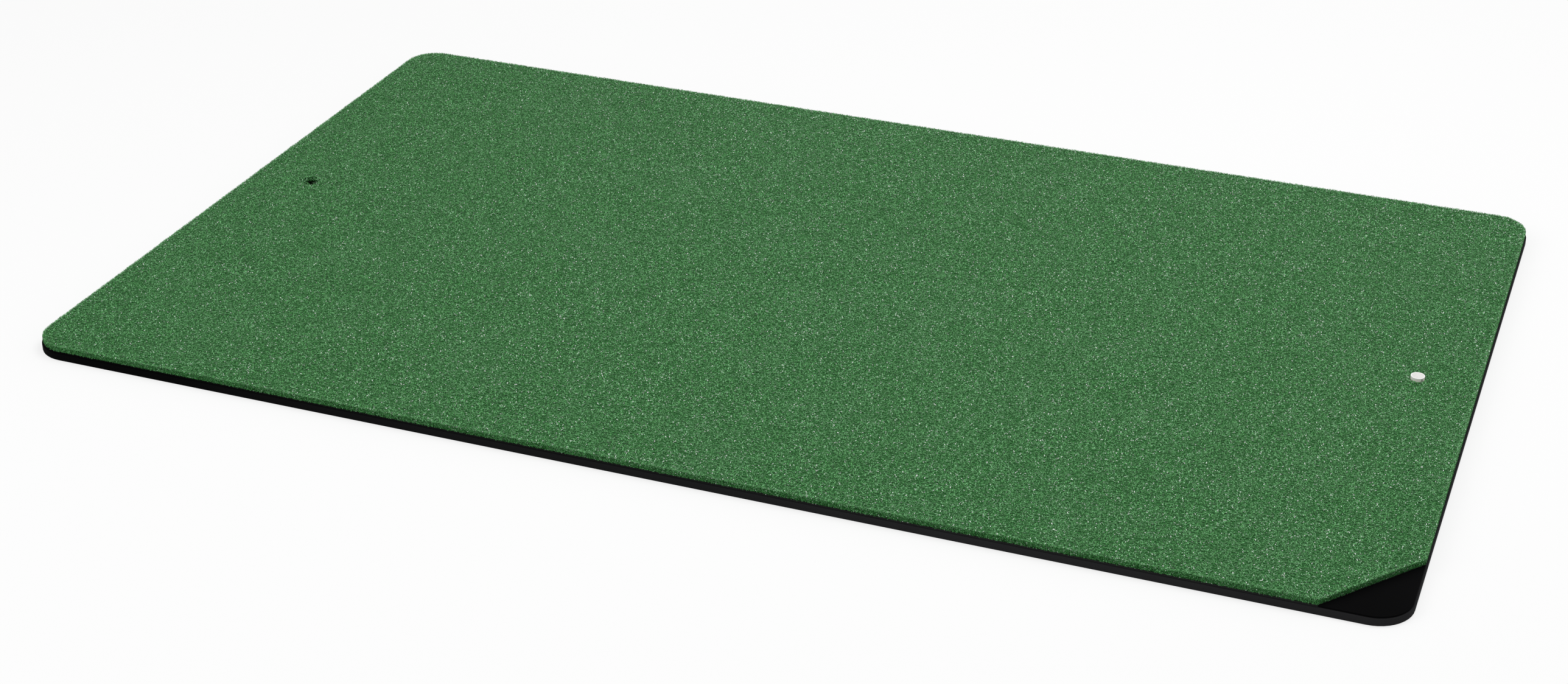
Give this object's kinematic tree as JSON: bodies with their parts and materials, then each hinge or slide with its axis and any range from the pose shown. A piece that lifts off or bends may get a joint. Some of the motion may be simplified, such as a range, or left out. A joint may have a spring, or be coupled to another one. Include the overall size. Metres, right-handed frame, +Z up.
{
  "type": "golf hitting mat",
  "caption": "Rectangular tufted turf mat on a slightly wider foam pad with rounded corners, a smooth corner badge, a spare tee hole and a pull-out rubber tee.",
  "frame": {"origin": "middle of the underside, where the mat lies on the floor", "axes": "+X to the right along the long front side, +Y from the front side to the back, +Z up out of the turf"},
  "size_m": [1.524, 0.914, 0.02],
  "materials": {
    "foam": "matt closed-cell foam",
    "scrim": "open woven cloth",
    "latex": "dried latex",
    "backing_cloth": "fine woven tape yarn",
    "turf": "curly nylon pile with a slight sparkle",
    "tape": "adhesive film",
    "badge": "smooth satin rubber",
    "tee_rubber": "smooth matt white rubber"
  },
  "bodies": {
    "mat": {"foam_pad": "foam", "secondary_backing": "scrim", "latex_coat": "latex", "primary_backing": "backing_cloth", "turf_pile": "turf", "badge_tape": "tape", "corner_badge": "badge"},
    "tee": {"rubber_tee": "tee_rubber"}
  },
  "joints": [
    {"name": "tee_pull", "type": "slide", "parent": "mat", "child": "tee", "axis": [0, 0, 1], "range_m": [-0.06, 0]}
  ]
}
